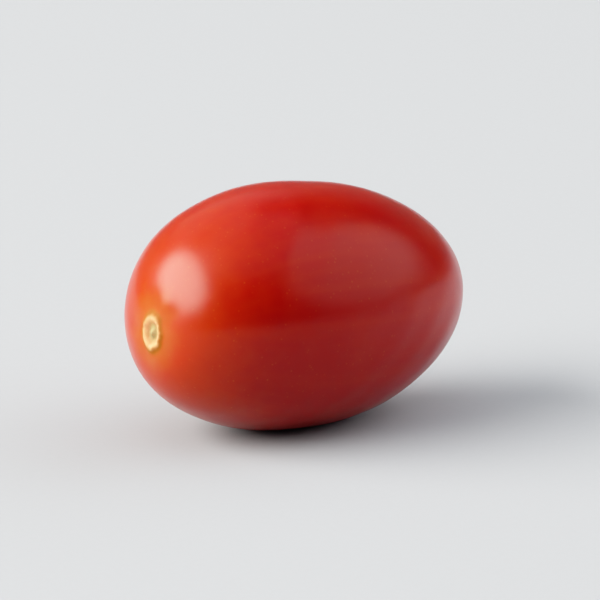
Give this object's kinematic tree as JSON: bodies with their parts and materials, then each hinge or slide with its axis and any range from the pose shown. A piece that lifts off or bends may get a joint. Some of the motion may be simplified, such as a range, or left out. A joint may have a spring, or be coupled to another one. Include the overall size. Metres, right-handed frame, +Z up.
{
  "type": "tomato",
  "caption": "Ripe red grape tomato of the small plum kind: a glossy egg-shaped fruit with a corky stem scar, lying on its side on a small flat spot.",
  "frame": {"origin": "on the surface that the fruit lies on, under the middle of its outline", "axes": "+X along the fruit from the stem end to the blossom end, +Z up from the surface, +Y to the left of +X"},
  "size_m": [0.041, 0.0262, 0.0256],
  "materials": {
    "tomato_skin": "thin waxy cuticle, glossy deep red, turning orange and then cream at the corky stem scar"
  },
  "bodies": {
    "root": {"tomato": "tomato_skin"}
  },
  "joints": []
}
